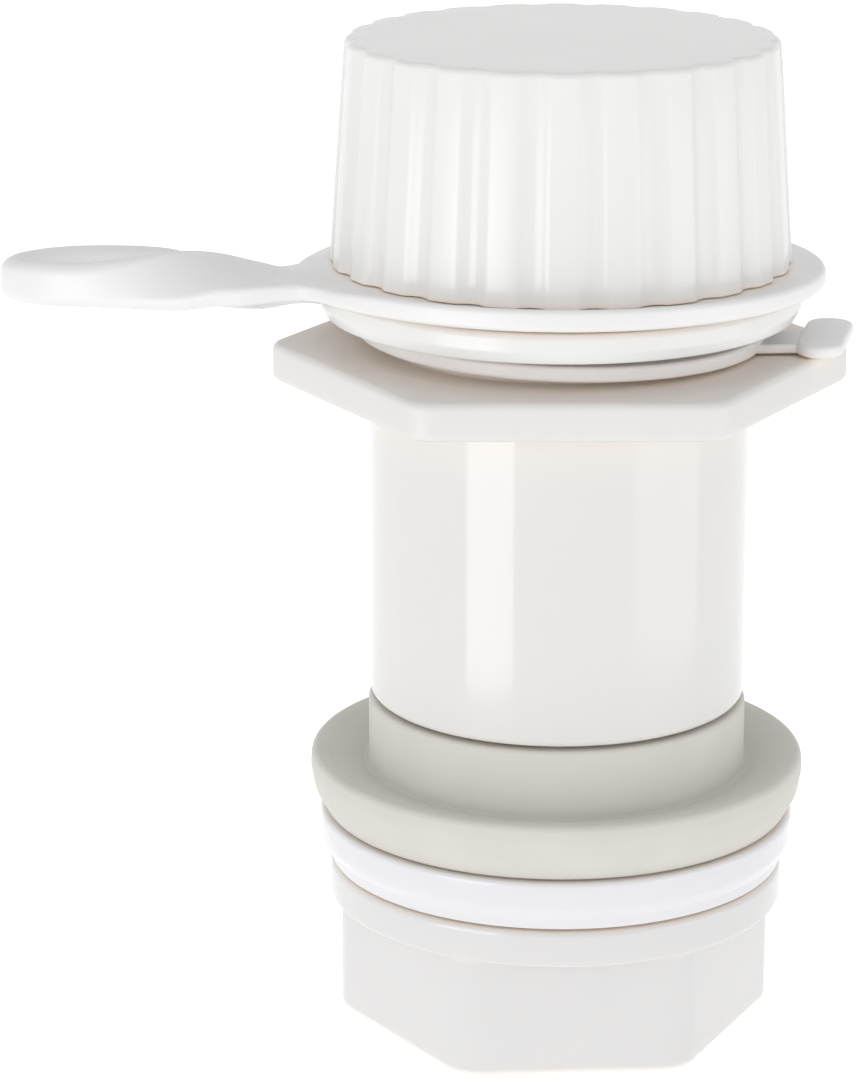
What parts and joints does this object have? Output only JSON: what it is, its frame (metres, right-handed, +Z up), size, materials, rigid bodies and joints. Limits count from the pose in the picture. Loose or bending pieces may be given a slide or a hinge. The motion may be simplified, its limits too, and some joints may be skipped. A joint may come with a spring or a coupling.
{
  "type": "threaded drain fitting with tethered screw cap",
  "caption": "Bulkhead drain fitting: hex-flanged tube with a fluted screw cap on a tether above, and a rubber grommet, slip ring and flanged hex nut below.",
  "frame": {"origin": "below the middle of the whole fitting, in the plane of the nut's foot that it stands on; the drain axis is at x = 9.05 mm, y = 0", "axes": "+Z up along the drain axis, from the nut to the cap; the tether loops out towards -X and its pull tab points towards +X"},
  "size_m": [0.0598, 0.0368, 0.071],
  "materials": {
    "nut_white": "glossy moulded polypropylene",
    "slip_ring_white": "slick, slightly translucent cool-white plastic",
    "grommet_rubber": "matte pale grey moulded rubber",
    "body_white": "moulded polypropylene, satin on the hex flange and glossy on the tube",
    "tether_white": "soft flexible moulded polyethylene, semi-matte",
    "cap_white": "moulded polypropylene, satin top and glossy flutes",
    "gasket_rubber": "matte dark rubber washer"
  },
  "bodies": {
    "nut": {"nut": "nut_white"},
    "slip_ring": {"slip_ring": "slip_ring_white"},
    "drain": {"drain_body": "body_white", "grommet": "grommet_rubber", "body_ring": "tether_white", "tether_strap": "tether_white"},
    "cap_ring": {"cap_ring": "tether_white"},
    "cap": {"cap": "cap_white", "cap_gasket": "gasket_rubber"}
  },
  "joints": [
    {"name": "body_turn", "type": "hinge", "parent": "nut", "child": "slip_ring", "pos_m": [0.00905, 0, 0], "axis": [0, 0, 1], "range_deg": [0, 1620]},
    {"name": "body_lift", "type": "slide", "parent": "slip_ring", "child": "drain", "axis": [0, 0, 1], "range_m": [0, 0.00994]},
    {"name": "cap_lift", "type": "slide", "parent": "drain", "child": "cap_ring", "axis": [0, 0, 1], "range_m": [0, 0.00994], "deforming": ["tether_strap"]},
    {"name": "cap_turn", "type": "hinge", "parent": "cap_ring", "child": "cap", "pos_m": [0.00905, 0, 0], "axis": [0, 0, 1], "range_deg": [0, 1620]}
  ],
  "couplings": [
    {"joint": "body_lift", "follows": "body_turn", "m_per_rad": 0.00035157},
    {"joint": "cap_lift", "follows": "cap_turn", "m_per_rad": 0.00035157}
  ]
}
